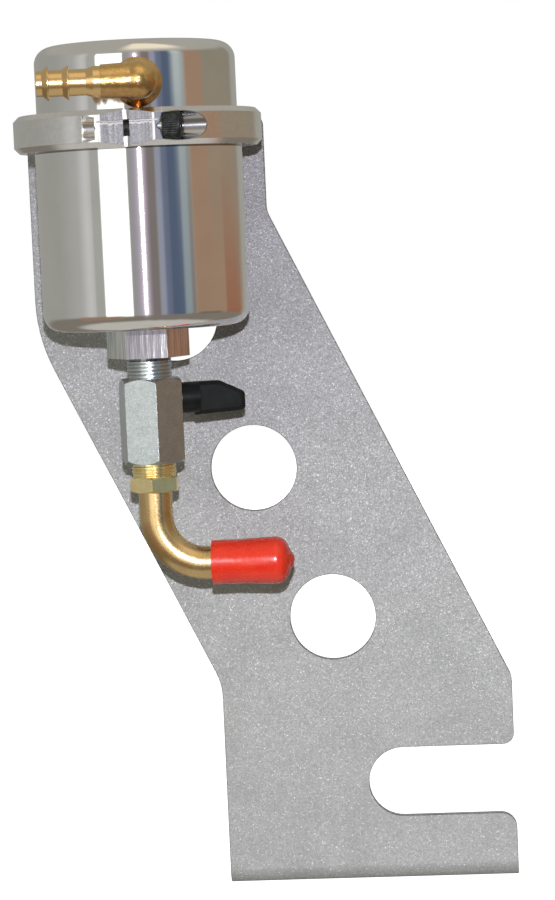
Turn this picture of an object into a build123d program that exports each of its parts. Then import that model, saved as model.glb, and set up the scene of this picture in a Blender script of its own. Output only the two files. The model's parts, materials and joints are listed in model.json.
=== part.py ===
"""Oil catch can: a polished can held by a split clamp ring on a folded sheet bracket.

Millimetres, +Z up, +X to the right of someone facing the can, +Y from the can to the
bracket. The origin is the middle of the bracket's bottom flange, on its underside.
"""
import os
from math import cos, radians, sin, sqrt, tan

from build123d import *

# Bracket sheet, seen from the front
sheet = 3.2
bend_outer_radius = 6.4
bracket_foot_width = 118.2
bracket_head_width = 95.6
head_step = 68.8
bracket_height = 315.0
slope_angle = 25.4
slope_width = 106.6
lower_left_bend_height = 83.6
upper_left_bend_radius = 66.0
lower_left_bend_radius = 24.0
right_bend_radius = 9.0
head_corner_radius = 5.0
foot_lip_corner_radius = 6.4
slot_lip_corner_radius = 4.5
flange_depth = 32.0

# Open slot in the bracket's right edge
slot_width = 28.4
slot_depth = 59.7
slot_height = 41.0

# Lightening holes, in a line down the middle of the sloped web
light_hole_radius = 17.45
light_hole_pitch = 68.8
light_hole_count = 3
top_light_hole_height = 234.2

# Bolt holes in the flange
flange_hole_radius = 3.3
flange_hole_spacing = 80.0

# Can
can_radius = 39.8
can_wall = 3.2
can_floor = 8.0
can_height = 82.4
can_floor_fillet = 6.5
can_floor_cone = 3.0
can_centre_from_head_centre = 2.8

# Lid
lid_inset = 1.3
lid_rise = 26.0
lid_wall = 6.0
lid_roof = 5.0
lid_edge_fillet = 6.5
lid_inner_fillet = 4.0
lid_seat_step = 1.0
spigot_length = 24.0
spigot_fit = 0.08
lid_turn = 7.3

# Lid O-ring
lid_ring_section = 2.0
lid_ring_below_rim = 4.5
seal_fit = 0.05

# Clamp ring
ring_wall = 7.825
ring_pad_proud = 0.375
ring_height = 14.0
ring_chamfer = 2.0
split_turn = 1.3
split_gap = 2.3
split_flat_width = 20.6
pad_width = 46.0
tool_line_depth = 0.25
tool_line_width = 0.5
tool_line_below_top = 4.67

# Clamp screw, lying across the split
clamp_shank_radius = 3.0
clamp_head_radius = 5.0
clamp_head_length = 6.9
clamp_socket_size = 5.0
clamp_socket_depth = 3.4
clamp_screw_length = 24.0
clamp_screw_depth = 4.475
clamp_head_seat = 13.1
clamp_bore_clearance = 0.1
clamp_head_clearance = 0.3
thread_fit = 0.02
clamp_pocket_start = 11.8
clamp_pocket_width = 4.7

# Screws that hold the ring to the bracket, put in from behind
bracket_screw_radius = 3.0
bracket_screw_length = 11.0
bracket_screw_spacing = 28.0
bracket_screw_head_radius = 5.25
bracket_screw_head_height = 3.3
bracket_screw_socket = 4.0
bracket_screw_socket_depth = 2.0
bracket_hole_clearance = 0.3
washer_radius = 6.25
washer_thickness = 1.5
tap_depth_beyond_screw = 1.2

# Hose elbows
elbow_axis_drop = 16.5
elbow_reach = 12.6
shoulder_radius = 9.2
shoulder_thickness = 4.0
shoulder_chamfer = 2.0
shoulder_stand_off = 2.6
elbow_neck_radius = 7.2
elbow_arm_root_radius = 6.8
elbow_arm_radius = 6.2
elbow_arm_length = 13.5
elbow_bore_radius = 3.2
elbow_thread_radius = 6.85
elbow_thread_through = 1.5
barb_length = 23.3
barb_root_radius = 4.85
barb_lip_radius = 6.25
barb_tip_radius = 4.65
barb_collar_radius = 5.75
barb_collar_length = 2.7
barb_lip_places = (4.5, 11.9)
barb_lip_ramp = 1.9
barb_lip_land = 0.5
barb_collar_ramp = 2.5

# Inlet down tube, inside
down_tube_radius = 4.0
down_tube_wall = 0.8
down_tube_bend_radius = 8.0
down_tube_reach = 17.5
down_tube_below_lid = 4.0
down_tube_socket = 3.0
down_tube_fit = 0.02

# Separator under the lid
baffle_thickness = 1.5
baffle_hole_radius = 2.2
inner_hole_ring = 9.0
inner_hole_count = 6
outer_hole_ring = 26.0
outer_hole_count = 14
mesh_thickness = 10.0
mesh_gap = 0.3
snap_ring_height = 1.6
snap_ring_width = 2.6
snap_ring_depth = 1.0
snap_ring_from_edge = 2.0
snap_ring_opening_angle = 24.0
separator_fit = 0.2

# Hexagon corners and thread ends
hex_corner_slope = 40.0
adapter_corner_slope = 31.0
thread_end_chamfer = 0.8
screw_end_chamfer = 0.5
screw_head_round = 0.6
button_head_round = 2.0
over_cut = 1.0

# Drain bung
bung_hex_flats = 27.6
bung_hex_height = 11.5
bung_turn = 3.7
bung_spigot_radius = 11.0
bung_spigot_length = 7.0
bung_bore_radius = 6.0
bung_ring_section = 2.0
ring_groove_gap = 0.4

# Pipe thread that joins bung, valve and adapter
pipe_radius = 8.2
pipe_tap_relief = 1.5

# Ball valve
valve_flats = 22.4
valve_length = 32.8
valve_turn = 16.0
valve_thread_bare = 8.2
valve_thread_engaged = 6.5
valve_bore_radius = 4.0
valve_ball_drop = 8.3
ball_radius = 6.75
ball_clearance = 0.35
ball_seat_clearance = 0.05
seat_height = 2.4
seat_outer_radius = 6.2
seat_inner_edge = 3.6
seat_retainer_radius = 7.6
seat_retainer_height = 3.6
retainer_slot_width = 2.0
retainer_slot_depth = 1.2
valve_tap_depth = 9.5

# Valve stem and its seal
stem_radius = 3.0
stem_fit = 0.05
stem_head_radius = 3.4
stem_head_length = 1.5
stem_tang_width = 2.4
stem_tang_clearance = 0.1
stem_tang_depth = 2.2
stem_boss_radius = 4.7
stem_boss_height = 3.2
stem_ring_section = 1.1
stem_drive_flats = 4.4
stem_past_hub = 1.5

# Valve handle
handle_gap = 0.35
hub_radius = 6.1
hub_length = 7.2
hub_skirt_clearance = 0.35
handle_length = 25.6
blade_thickness = 4.6
blade_top = 6.0
blade_bottom = 6.9
blade_tip_top = 1.2
blade_tip_bottom = 6.0
blade_bevel_start = 10.0
blade_bevel = 1.5
blade_tip_round = 2.2
blade_shoulder_round = 4.0

# Brass adapter, tube and cap
adapter_thread_bare = 5.3
adapter_thread_engaged = 8.0
adapter_hex_flats = 17.9
adapter_hex_height = 5.9
tube_radius = 6.5
tube_wall = 1.0
tube_bend_radius = 19.0
tube_drop = 9.7
tube_run = 30.5
tube_socket = 4.5
cap_wall = 2.2
cap_length = 32.0
cap_start = 2.1
cap_tip_rise = 1.1
cap_bulge = 0.5
cap_bulge_place = 24.5
cap_fit = 0.05
cap_end_gap = 0.5
cap_tip_radius = 3.2

# Heights and places worked out from the sizes above
plate_front = -(bend_outer_radius + flange_depth) / 2
foot_left = -bracket_foot_width / 2
foot_right = bracket_foot_width / 2
slope = tan(radians(slope_angle))
slope_side = slope_width / cos(radians(slope_angle))
rim_height = bracket_height
ring_bottom = rim_height - ring_height
can_bottom = rim_height - can_height
lid_radius = can_radius - lid_inset
ring_radius = can_radius + ring_wall
can_stand_off = ring_radius + ring_pad_proud
can_y = plate_front - can_stand_off
position_tolerance = 0.01


def left_slope_x(height):
    """X of the left sloped edge at a height."""
    return foot_left + (lower_left_bend_height - height) * slope


def slope_middle_x(height):
    """X of the line of lightening holes at a height."""
    return left_slope_x(height) + slope_side / 2


head_left = foot_left - head_step
head_right = head_left + bracket_head_width
upper_left_bend_height = lower_left_bend_height + (foot_left - head_left) / slope
upper_right_bend_height = lower_left_bend_height + (foot_left + slope_side - head_right) / slope
lower_right_bend_height = lower_left_bend_height + (foot_left + slope_side - foot_right) / slope
can_x = (head_left + head_right) / 2 + can_centre_from_head_centre


def can_plane(height, turn=0.0):
    """A level plane on the can's axis, turned about it."""
    return Plane(origin=(can_x, can_y, height), x_dir=(cos(radians(turn)), sin(radians(turn)), 0))


def side_plane(turn=0.0):
    """The upright plane through the can's axis whose X is outwards and Y is up."""
    out = (cos(radians(turn)), sin(radians(turn)), 0)
    normal = (sin(radians(turn)), -cos(radians(turn)), 0)
    return Plane(origin=(can_x, can_y, 0), x_dir=out, z_dir=normal)


os.makedirs("parts", exist_ok=True)


def edges_at(shape, axis, place):
    """The edges or corners of a shape that lie at one place along an axis."""
    return shape.filter_by_position(axis, place - position_tolerance, place + position_tolerance)


def bracket_screw_places():
    """Both screws behind the clamp ring, in an upright plane's own X and Y."""
    return [(can_x - bracket_screw_spacing / 2, screw_line_height),
            (can_x + bracket_screw_spacing / 2, screw_line_height)]


def save(name, part):
    """Label a finished piece and write it."""
    part.label = name
    export_step(part, f"parts/{name}.step")


# Bracket: a folded sheet, with its outline cut in the flat front
screw_line_height = ring_bottom + ring_height / 2
slot_end_x = foot_right - slot_depth + slot_width / 2

with BuildPart() as bracket:
    with BuildSketch(Plane.YZ.offset(head_left)) as fold:
        with BuildLine():
            Polyline(
                (plate_front, bracket_height),
                (plate_front, 0),
                (plate_front + flange_depth, 0),
                (plate_front + flange_depth, sheet),
                (plate_front + sheet, sheet),
                (plate_front + sheet, bracket_height),
                close=True,
            )
        make_face()
        outer_corner = fold.vertices().group_by(Axis.Y)[0].sort_by(Axis.X)[0]
        inner_corner = fold.vertices().group_by(Axis.Y)[1].sort_by(Axis.X)[0]
        fillet(outer_corner, bend_outer_radius)
        fillet(inner_corner, bend_outer_radius - sheet)
    extrude(amount=foot_right - head_left)
    with BuildSketch(Plane.XZ) as outline:
        with BuildLine():
            FilletPolyline(
                (foot_left, 0),
                (foot_left, lower_left_bend_height),
                (head_left, upper_left_bend_height),
                (head_left, bracket_height),
                (head_right, bracket_height),
                (head_right, upper_right_bend_height),
                (foot_right, lower_right_bend_height),
                (foot_right, 0),
                radius=[
                    lower_left_bend_radius,
                    upper_left_bend_radius,
                    head_corner_radius,
                    head_corner_radius,
                    right_bend_radius,
                    right_bend_radius,
                ],
            )
            Line((foot_right, 0), (foot_left, 0))
        make_face()
        with Locations((slot_end_x, slot_height)):
            Circle(slot_width / 2, mode=Mode.SUBTRACT)
        with Locations(((slot_end_x + foot_right) / 2, slot_height)):
            Rectangle(foot_right - slot_end_x, slot_width, mode=Mode.SUBTRACT)
        lips = edges_at(outline.vertices(), Axis.X, foot_right)
        fillet(edges_at(lips, Axis.Y, slot_height + slot_width / 2), slot_lip_corner_radius)
        lips = edges_at(outline.vertices(), Axis.X, foot_right)
        fillet(edges_at(lips, Axis.Y, slot_height - slot_width / 2), foot_lip_corner_radius)
        for step in range(light_hole_count):
            height = top_light_hole_height - step * light_hole_pitch * cos(radians(slope_angle))
            with Locations((slope_middle_x(height), height)):
                Circle(light_hole_radius, mode=Mode.SUBTRACT)
        with Locations(*bracket_screw_places()):
            Circle(bracket_screw_radius + bracket_hole_clearance, mode=Mode.SUBTRACT)
    extrude(amount=2 * flange_depth, both=True, mode=Mode.INTERSECT)
    with BuildSketch(Plane.XY):
        with GridLocations(flange_hole_spacing, 0, 2, 1):
            Circle(flange_hole_radius)
    extrude(amount=sheet, mode=Mode.SUBTRACT)
save("bracket", bracket.part)

# Clamp ring: turned ring, pad at the back, split and flat at the front
flat_depth = sqrt(ring_radius**2 - (split_flat_width / 2) ** 2)
ring_screw_depth = bracket_screw_length - sheet - washer_thickness


def clamp_screw_plane(place):
    """A plane square to the clamp screw and centred on it, at a place along it from the split."""
    along = Vector(cos(radians(split_turn)), sin(radians(split_turn)), 0)
    out = Vector(sin(radians(split_turn)), -cos(radians(split_turn)), 0)
    middle = Vector(can_x, can_y, screw_line_height) + out * (ring_radius - clamp_screw_depth)
    return Plane(origin=middle + along * place, x_dir=out, z_dir=along)


with BuildPart() as clamp_ring:
    with BuildSketch(can_plane(ring_bottom)):
        Circle(ring_radius)
    extrude(amount=ring_height)
    chamfer(clamp_ring.edges().filter_by(GeomType.CIRCLE), ring_chamfer)
    with BuildSketch(can_plane(ring_bottom)):
        with Locations((0, can_stand_off / 2)):
            Rectangle(pad_width, can_stand_off)
    extrude(amount=ring_height)
    with BuildSketch(can_plane(ring_bottom)):
        Circle(can_radius)
    extrude(amount=ring_height, mode=Mode.SUBTRACT)
    with BuildSketch(can_plane(ring_bottom, split_turn)):
        with Locations((0, -flat_depth - ring_radius / 2)):
            Rectangle(2 * ring_radius, ring_radius)
        with Locations((0, -ring_radius)):
            Rectangle(split_gap, 2 * ring_radius)
    extrude(amount=ring_height, mode=Mode.SUBTRACT)
    with BuildSketch(can_plane(rim_height - tool_line_below_top - tool_line_width / 2, split_turn)):
        with Locations((0, -flat_depth)):
            Rectangle(2 * split_flat_width, 2 * tool_line_depth)
    extrude(amount=tool_line_width, mode=Mode.SUBTRACT)
    with BuildSketch(clamp_screw_plane(0)):
        Circle(clamp_shank_radius + thread_fit)
    extrude(amount=-clamp_pocket_start, mode=Mode.SUBTRACT)
    with BuildSketch(clamp_screw_plane(0)):
        Circle(clamp_shank_radius + clamp_bore_clearance)
    extrude(amount=clamp_head_seat, mode=Mode.SUBTRACT)
    with BuildSketch(clamp_screw_plane(clamp_head_seat)):
        Circle(clamp_head_radius + clamp_head_clearance)
    extrude(amount=ring_radius, mode=Mode.SUBTRACT)
    with BuildSketch(clamp_screw_plane(-clamp_pocket_start)):
        Circle(clamp_head_radius)
    extrude(amount=-clamp_pocket_width, mode=Mode.SUBTRACT)
    with BuildSketch(Plane.XZ.offset(-can_y - can_stand_off)):
        with Locations(*bracket_screw_places()):
            Circle(bracket_screw_radius + thread_fit)
    extrude(amount=ring_screw_depth + tap_depth_beyond_screw, mode=Mode.SUBTRACT)
save("clamp_ring", clamp_ring.part)

# Clamp screw: socket head on the right, shank to the left
with BuildPart() as clamp_screw:
    with BuildSketch(clamp_screw_plane(clamp_head_seat)):
        Circle(clamp_head_radius)
    extrude(amount=clamp_head_length)
    fillet(clamp_screw.edges().sort_by(Axis.X)[-1], screw_head_round)
    with BuildSketch(clamp_screw_plane(clamp_head_seat + clamp_head_length)):
        RegularPolygon(clamp_socket_size / 2, 6, major_radius=False)
    extrude(amount=-clamp_socket_depth, mode=Mode.SUBTRACT)
    with BuildSketch(clamp_screw_plane(clamp_head_seat)):
        Circle(clamp_shank_radius)
    extrude(amount=-clamp_screw_length)
    chamfer(clamp_screw.edges().sort_by(Axis.X)[0], screw_end_chamfer)
save("clamp_screw", clamp_screw.part)

# Washers and button-head screws behind the bracket
plate_back = plate_front + sheet
with BuildPart() as bracket_washers:
    with BuildSketch(Plane.XZ.offset(-plate_back)):
        with Locations(*bracket_screw_places()):
            Circle(washer_radius)
            Circle(bracket_screw_radius + bracket_hole_clearance, mode=Mode.SUBTRACT)
    extrude(amount=-washer_thickness)
save("bracket_washers", bracket_washers.part)

head_base = plate_back + washer_thickness
with BuildPart() as bracket_screws:
    with BuildSketch(Plane.XZ.offset(-head_base)):
        with Locations(*bracket_screw_places()):
            Circle(bracket_screw_head_radius)
    extrude(amount=-bracket_screw_head_height)
    fillet(bracket_screws.faces().sort_by(Axis.Y)[-2:].edges(), button_head_round)
    with BuildSketch(Plane.XZ.offset(-head_base - bracket_screw_head_height)):
        with Locations(*bracket_screw_places()):
            RegularPolygon(bracket_screw_socket / 2, 6, major_radius=False)
    extrude(amount=bracket_screw_socket_depth, mode=Mode.SUBTRACT)
    with BuildSketch(Plane.XZ.offset(-head_base)):
        with Locations(*bracket_screw_places()):
            Circle(bracket_screw_radius)
    extrude(amount=bracket_screw_length)
save("bracket_screws", bracket_screws.part)

# Can body: turned in one, with a coned floor that drains to a threaded hole
can_bore = can_radius - can_wall
up_axis = Axis((can_x, can_y, 0), (0, 0, 1))
floor_top = can_bottom + can_floor

with BuildPart() as can_body:
    with BuildSketch(side_plane()):
        with BuildLine():
            Polyline(
                (bung_spigot_radius, can_bottom),
                (can_radius, can_bottom),
                (can_radius, rim_height),
                (can_bore, rim_height),
                (can_bore, floor_top + can_floor_cone),
                (bung_spigot_radius, floor_top),
                close=True,
            )
        make_face()
    revolve(axis=up_axis)
    foot_edges = can_body.edges().filter_by(GeomType.CIRCLE).group_by(Axis.Z)[0]
    fillet(foot_edges.sort_by(SortBy.RADIUS)[-1], can_floor_fillet)
save("can_body", can_body.part)

# Lid: turned cap with a spigot that screws into the can
spigot_bottom = rim_height - spigot_length
spigot_radius = can_bore - spigot_fit
lid_top = rim_height + lid_rise
lid_bore = lid_radius - lid_wall
lid_ring_centre = rim_height - lid_ring_below_rim
lid_ring_groove = can_bore - seal_fit - lid_ring_section
snap_ring_bottom = spigot_bottom + snap_ring_from_edge
mesh_bottom = snap_ring_bottom + snap_ring_height + mesh_gap
baffle_bottom = mesh_bottom + mesh_thickness + mesh_gap
baffle_seat = baffle_bottom + baffle_thickness
elbow_height = lid_top - elbow_axis_drop
inlet_turn = lid_turn - 90
outlet_turn = lid_turn + 90


def out_plane(turn, reach, height):
    """An upright plane facing away from the can's axis, at a reach from it."""
    out = (cos(radians(turn)), sin(radians(turn)), 0)
    centre = (can_x + reach * out[0], can_y + reach * out[1], height)
    return Plane(origin=centre, x_dir=(-out[1], out[0], 0), z_dir=out)


with BuildPart() as lid:
    with BuildSketch(side_plane()):
        with BuildLine():
            Polyline(
                (0, lid_top),
                (lid_radius, lid_top),
                (lid_radius, rim_height),
                (spigot_radius, rim_height),
                (spigot_radius, spigot_bottom),
                (lid_bore, spigot_bottom),
                (lid_bore, baffle_seat),
                (lid_bore - lid_seat_step, baffle_seat),
                (lid_bore - lid_seat_step, lid_top - lid_roof),
                (0, lid_top - lid_roof),
                close=True,
            )
        make_face()
        with Locations((lid_ring_groove + lid_ring_section, lid_ring_centre)):
            Rectangle(2 * lid_ring_section, lid_ring_section + ring_groove_gap, mode=Mode.SUBTRACT)
        with Locations((lid_bore, snap_ring_bottom + snap_ring_height / 2)):
            Rectangle(2 * snap_ring_depth, snap_ring_height, mode=Mode.SUBTRACT)
    revolve(axis=up_axis)
    rims = lid.edges().filter_by(GeomType.CIRCLE)
    fillet(rims.group_by(Axis.Z)[-1], lid_edge_fillet)
    fillet(edges_at(rims, Axis.Z, lid_top - lid_roof), lid_inner_fillet)
    for turn in (inlet_turn, outlet_turn):
        with BuildSketch(out_plane(turn, lid_radius + over_cut, elbow_height)):
            Circle(elbow_thread_radius)
        extrude(amount=-lid_wall - lid_seat_step - 2 * over_cut, mode=Mode.SUBTRACT)
save("lid", lid.part)

with BuildPart() as lid_o_ring:
    with BuildSketch(side_plane()):
        with Locations((can_bore - seal_fit - lid_ring_section / 2, lid_ring_centre)):
            Circle(lid_ring_section / 2)
    revolve(axis=up_axis)
save("lid_o_ring", lid_o_ring.part)

# Hose elbows: forged body, turned barb, pipe thread into the lid
shoulder_start = lid_radius + shoulder_stand_off
arm_reach = shoulder_start + elbow_reach
thread_end = lid_bore - lid_seat_step - elbow_thread_through


def barb_outline():
    """Points of the barb's half section, as distance along the arm and radius."""
    tip = elbow_arm_length + barb_length
    points = [(tip, elbow_bore_radius), (tip, barb_tip_radius)]
    foot_radius = barb_tip_radius
    for place in barb_lip_places:
        ramp_end = tip - place + barb_lip_land
        points.append((ramp_end + barb_lip_ramp, foot_radius))
        points.append((ramp_end, barb_lip_radius))
        points.append((tip - place, barb_lip_radius))
        points.append((tip - place, barb_root_radius))
        foot_radius = barb_root_radius
    collar_end = elbow_arm_length + barb_collar_length
    points.append((collar_end + barb_collar_ramp, barb_root_radius))
    points.append((collar_end, barb_collar_radius))
    points.append((elbow_arm_length, barb_collar_radius))
    return points


def make_elbow(name, turn, arm_turn, has_socket):
    """A hose elbow on the lid's side, its arm along another level direction."""
    out = (cos(radians(turn)), sin(radians(turn)), 0)
    arm = (cos(radians(arm_turn)), sin(radians(arm_turn)), 0)
    corner = (can_x + arm_reach * out[0], can_y + arm_reach * out[1], elbow_height)
    out_axis = Axis((can_x, can_y, elbow_height), out)
    arm_axis = Axis(corner, arm)
    with BuildPart() as elbow:
        with BuildSketch(Plane(origin=(can_x, can_y, elbow_height), x_dir=out, z_dir=arm)):
            with BuildLine():
                Polyline(
                    (thread_end, 0),
                    (thread_end, elbow_thread_radius),
                    (shoulder_start, elbow_thread_radius),
                    (shoulder_start, shoulder_radius),
                    (shoulder_start + shoulder_thickness - shoulder_chamfer, shoulder_radius),
                    (shoulder_start + shoulder_thickness, shoulder_radius - shoulder_chamfer),
                    (arm_reach, elbow_neck_radius),
                )
                RadiusArc(
                    (arm_reach, elbow_neck_radius),
                    (arm_reach + elbow_neck_radius, 0),
                    elbow_neck_radius,
                )
                Line((arm_reach + elbow_neck_radius, 0), (thread_end, 0))
            make_face()
        revolve(axis=out_axis)
        with BuildSketch(Plane(origin=corner, x_dir=arm, z_dir=(0, 0, 1))):
            with BuildLine():
                Polyline(
                    *barb_outline(),
                    (elbow_arm_length, elbow_arm_radius),
                    (0, elbow_arm_root_radius),
                    (0, elbow_bore_radius),
                    close=True,
                )
            make_face()
        revolve(axis=arm_axis)
        with BuildSketch(Plane(origin=corner, x_dir=out, z_dir=arm)):
            Circle(elbow_bore_radius)
        extrude(amount=elbow_arm_length + barb_length, mode=Mode.SUBTRACT)
        with BuildSketch(Plane(origin=corner, x_dir=arm, z_dir=out)):
            Circle(elbow_bore_radius)
        extrude(amount=thread_end - arm_reach, mode=Mode.SUBTRACT)
        if has_socket:
            with BuildSketch(out_plane(turn, thread_end, elbow_height)):
                Circle(down_tube_radius + down_tube_fit)
            extrude(amount=down_tube_socket, mode=Mode.SUBTRACT)
    save(name, elbow.part)


make_elbow("inlet_elbow", inlet_turn, inlet_turn - 90, True)
make_elbow("outlet_elbow", outlet_turn, outlet_turn + 90, False)

# Inlet tube: leads from the front elbow down through the separator
tube_low = spigot_bottom - down_tube_below_lid
with BuildPart() as inlet_tube:
    with BuildLine():
        start = side_plane(inlet_turn).from_local_coords((thread_end + down_tube_socket, elbow_height))
        corner = side_plane(inlet_turn).from_local_coords((down_tube_reach, elbow_height))
        finish = side_plane(inlet_turn).from_local_coords((down_tube_reach, tube_low))
        FilletPolyline(start, corner, finish, radius=down_tube_bend_radius)
    with BuildSketch(out_plane(inlet_turn, thread_end + down_tube_socket, elbow_height)):
        Circle(down_tube_radius)
        Circle(down_tube_radius - down_tube_wall, mode=Mode.SUBTRACT)
    sweep()
save("inlet_tube", inlet_tube.part)

# Separator: drilled baffle plate, mesh pad and the snap ring that holds them
pass_radius = down_tube_radius + separator_fit
baffle_holes = ((inner_hole_ring, inner_hole_count), (outer_hole_ring, outer_hole_count))
with BuildPart() as baffle_plate:
    with BuildSketch(can_plane(baffle_bottom)):
        Circle(lid_bore - separator_fit)
        with PolarLocations(down_tube_reach, 1, start_angle=inlet_turn):
            Circle(pass_radius, mode=Mode.SUBTRACT)
        for ring_reach, hole_count in baffle_holes:
            with PolarLocations(ring_reach, hole_count, start_angle=inlet_turn + 180 / hole_count):
                Circle(baffle_hole_radius, mode=Mode.SUBTRACT)
    extrude(amount=baffle_thickness)
save("baffle_plate", baffle_plate.part)

with BuildPart() as separator_mesh:
    with BuildSketch(can_plane(mesh_bottom)):
        Circle(lid_bore - separator_fit)
        with PolarLocations(down_tube_reach, 1, start_angle=inlet_turn):
            Circle(pass_radius, mode=Mode.SUBTRACT)
    extrude(amount=mesh_thickness)
save("separator_mesh", separator_mesh.part)

with BuildPart() as mesh_retainer:
    with BuildSketch(can_plane(snap_ring_bottom)):
        Circle(lid_bore + snap_ring_depth)
        Circle(lid_bore + snap_ring_depth - snap_ring_width, mode=Mode.SUBTRACT)
        with BuildLine():
            opening = CenterArc((0, 0), 2 * lid_bore, -snap_ring_opening_angle / 2, snap_ring_opening_angle)
            Line((0, 0), opening @ 0)
            Line((0, 0), opening @ 1)
        make_face(mode=Mode.SUBTRACT)
    extrude(amount=snap_ring_height)
save("mesh_retainer", mesh_retainer.part)


def chamfer_profile(bottom, height, flats, corner_slope):
    """Half section that cuts a hexagon's corners back at both ends."""
    corner = flats / sqrt(3)
    inner = flats / 2
    rise = (corner - inner) * tan(radians(corner_slope))
    Polyline(
        (0, bottom),
        (inner, bottom),
        (corner, bottom + rise),
        (corner, bottom + height - rise),
        (inner, bottom + height),
        (0, bottom + height),
        close=True,
    )


# Drain bung
hex_bottom = can_bottom - bung_hex_height
with BuildPart() as drain_bung:
    with BuildSketch(can_plane(hex_bottom)):
        RegularPolygon(bung_hex_flats / 2, 6, major_radius=False, rotation=bung_turn)
    extrude(amount=bung_hex_height)
    with BuildSketch(can_plane(can_bottom)):
        Circle(bung_spigot_radius)
    extrude(amount=bung_spigot_length)
    with BuildSketch(can_plane(can_bottom)):
        Circle(bung_spigot_radius + bung_ring_section + ring_groove_gap)
        Circle(bung_spigot_radius, mode=Mode.SUBTRACT)
    extrude(amount=-bung_ring_section, mode=Mode.SUBTRACT)
    with BuildSketch(can_plane(hex_bottom)):
        Circle(bung_bore_radius)
    extrude(amount=bung_hex_height + bung_spigot_length, mode=Mode.SUBTRACT)
    with BuildSketch(can_plane(hex_bottom)):
        Circle(pipe_radius)
    extrude(amount=valve_thread_engaged + pipe_tap_relief, mode=Mode.SUBTRACT)
save("drain_bung", drain_bung.part)

bung_ring_centre = bung_spigot_radius + (bung_ring_section + ring_groove_gap) / 2
with BuildPart() as bung_o_ring:
    with BuildSketch(side_plane()):
        with Locations((bung_ring_centre, can_bottom - bung_ring_section / 2)):
            Circle(bung_ring_section / 2)
    revolve(axis=up_axis)
save("bung_o_ring", bung_o_ring.part)

# Ball valve
valve_top = hex_bottom - valve_thread_bare
valve_bottom = valve_top - valve_length
ball_height = valve_top - valve_ball_drop
chamber_radius = ball_radius + ball_clearance
seat_outer_edge = seat_inner_edge + seat_height
retainer_low = seat_outer_edge + seat_retainer_height
stem_face = valve_flats / 2
stem_bore = stem_radius + stem_fit
stem_head_start = chamber_radius + stem_fit
stem_axis = Axis((can_x, can_y, ball_height), (cos(radians(valve_turn)), sin(radians(valve_turn)), 0))

with BuildPart() as valve_body:
    with BuildSketch(can_plane(valve_bottom)):
        RegularPolygon(valve_flats / 2, 6, major_radius=False, rotation=valve_turn + 30)
    extrude(amount=valve_length)
    with BuildSketch(side_plane()):
        with BuildLine():
            chamfer_profile(valve_bottom, valve_length, valve_flats, hex_corner_slope)
        make_face()
    revolve(axis=up_axis, mode=Mode.INTERSECT)
    with BuildSketch(can_plane(valve_top)):
        Circle(pipe_radius)
    extrude(amount=valve_thread_bare + valve_thread_engaged)
    chamfer(valve_body.edges().group_by(Axis.Z)[-1], thread_end_chamfer)
    with BuildSketch(out_plane(valve_turn, stem_face, ball_height)):
        Circle(stem_boss_radius)
    extrude(amount=stem_boss_height)
    with BuildSketch(side_plane()):
        with BuildLine():
            Polyline(
                (0, valve_top + valve_thread_bare + valve_thread_engaged),
                (valve_bore_radius, valve_top + valve_thread_bare + valve_thread_engaged),
                (valve_bore_radius, ball_height + seat_outer_edge),
                (seat_outer_radius, ball_height + seat_outer_edge),
                (seat_outer_radius, ball_height + seat_inner_edge),
                (chamber_radius, ball_height + seat_inner_edge),
                (chamber_radius, ball_height - seat_inner_edge),
                (seat_retainer_radius, ball_height - seat_inner_edge),
                (seat_retainer_radius, valve_bottom + valve_tap_depth),
                (pipe_radius, valve_bottom + valve_tap_depth),
                (pipe_radius, valve_bottom),
                (0, valve_bottom),
                close=True,
            )
        make_face()
    revolve(axis=up_axis, mode=Mode.SUBTRACT)
    with BuildSketch(out_plane(valve_turn, 0, ball_height)):
        Circle(stem_bore)
    extrude(amount=stem_face + stem_boss_height, mode=Mode.SUBTRACT)
    with BuildSketch(out_plane(valve_turn, 0, ball_height)):
        Circle(stem_head_radius + stem_fit)
    extrude(amount=stem_head_start + stem_head_length + stem_fit, mode=Mode.SUBTRACT)
save("valve_body", valve_body.part)

with BuildPart() as valve_seats:
    with BuildSketch(side_plane()):
        with Locations(((valve_bore_radius + seat_outer_radius) / 2, ball_height)):
            with GridLocations(0, seat_inner_edge + seat_outer_edge, 1, 2):
                Rectangle(seat_outer_radius - valve_bore_radius, seat_height)
        with Locations((0, ball_height)):
            Circle(ball_radius + ball_seat_clearance, mode=Mode.SUBTRACT)
    revolve(axis=up_axis)
save("valve_seats", valve_seats.part)

with BuildPart() as seat_retainer:
    with BuildSketch(can_plane(ball_height - retainer_low)):
        Circle(seat_retainer_radius)
        Circle(valve_bore_radius, mode=Mode.SUBTRACT)
    extrude(amount=retainer_low - seat_inner_edge)
    with BuildSketch(can_plane(ball_height - seat_inner_edge)):
        Circle(seat_outer_radius)
    extrude(amount=-seat_height, mode=Mode.SUBTRACT)
    with BuildSketch(can_plane(ball_height - retainer_low)):
        Rectangle(2 * seat_retainer_radius, retainer_slot_width)
    extrude(amount=retainer_slot_depth, mode=Mode.SUBTRACT)
save("seat_retainer", seat_retainer.part)

with BuildPart() as valve_ball:
    with Locations((can_x, can_y, ball_height)):
        Sphere(ball_radius)
    with BuildSketch(can_plane(ball_height - ball_radius)):
        Circle(valve_bore_radius)
    extrude(amount=2 * ball_radius, mode=Mode.SUBTRACT)
    with BuildSketch(out_plane(valve_turn, ball_radius - stem_tang_depth, ball_height)):
        Rectangle(stem_tang_width + 2 * stem_tang_clearance, 2 * ball_radius)
    extrude(amount=ball_radius, mode=Mode.SUBTRACT)
save("valve_ball", valve_ball.part)

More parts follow.
